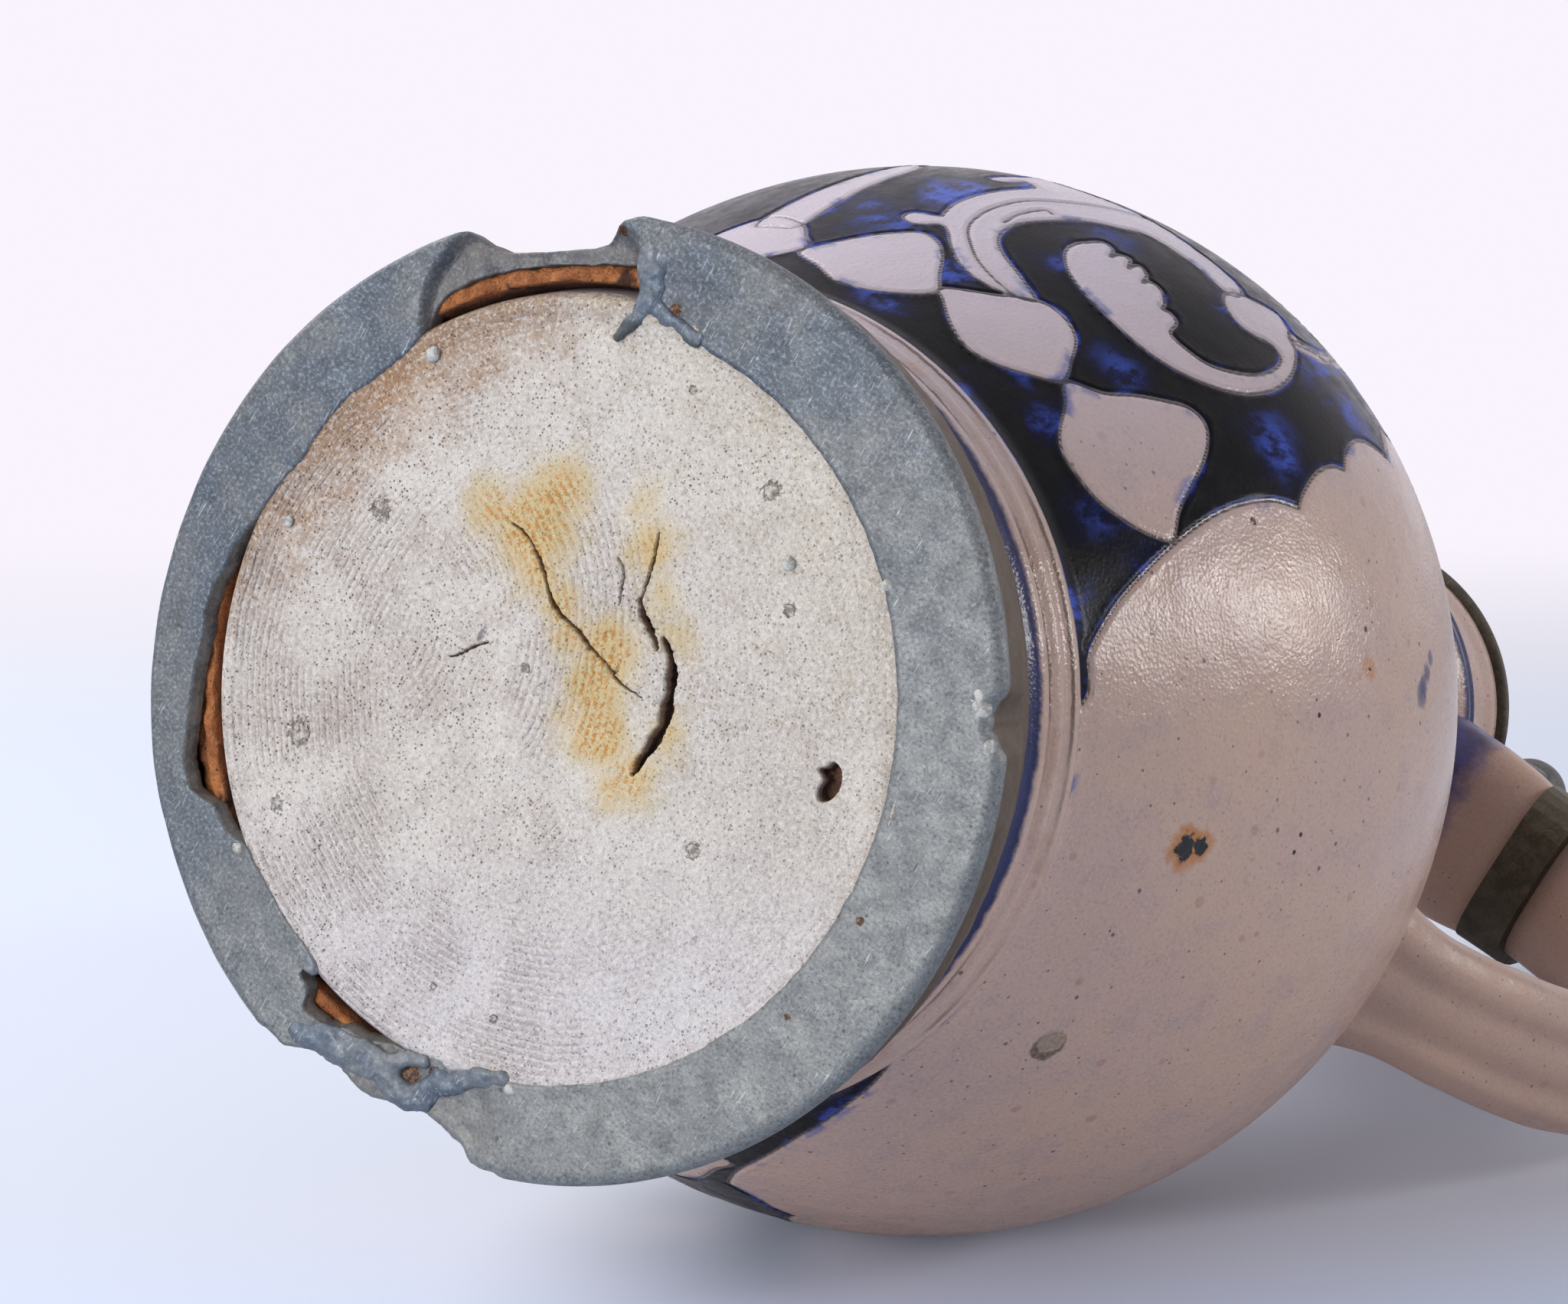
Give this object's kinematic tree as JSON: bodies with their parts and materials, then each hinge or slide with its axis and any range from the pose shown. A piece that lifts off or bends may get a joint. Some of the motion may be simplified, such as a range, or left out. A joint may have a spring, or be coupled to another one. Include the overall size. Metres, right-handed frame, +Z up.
{
  "type": "jug",
  "caption": "Narrow-necked salt-glazed stoneware jug with strap handle, pewter foot skirt and a hinged pewter lid with ball thumbpiece, for pouring wine or beer",
  "frame": {"origin": "centre of the underside of the stoneware base", "axes": "+Z up along the jug's axis, +X towards the handle, +Y across the handle and along the lid's hinge"},
  "size_m": [0.1595, 0.1348, 0.2985],
  "materials": {
    "stoneware": "salt glaze, orange-peel texture, grey body with cobalt and manganese painting",
    "pewter": null,
    "putty": "dry orange-brown bedding putty"
  },
  "bodies": {
    "jug": {"jug_body": "stoneware", "handle": "stoneware", "foot_skirt": "pewter", "foot_bedding": "putty", "handle_band": "pewter", "hinge_shank": "pewter", "hinge_pin": "pewter"},
    "lid": {"lid_cover": "pewter", "lid_tongue": "pewter", "thumbpiece": "pewter"}
  },
  "joints": [
    {"name": "lid_hinge", "type": "hinge", "parent": "jug", "child": "lid", "pos_m": [0.0318, 0, 0.265], "axis": [0, 1, 0], "range_deg": [0, 105]}
  ]
}
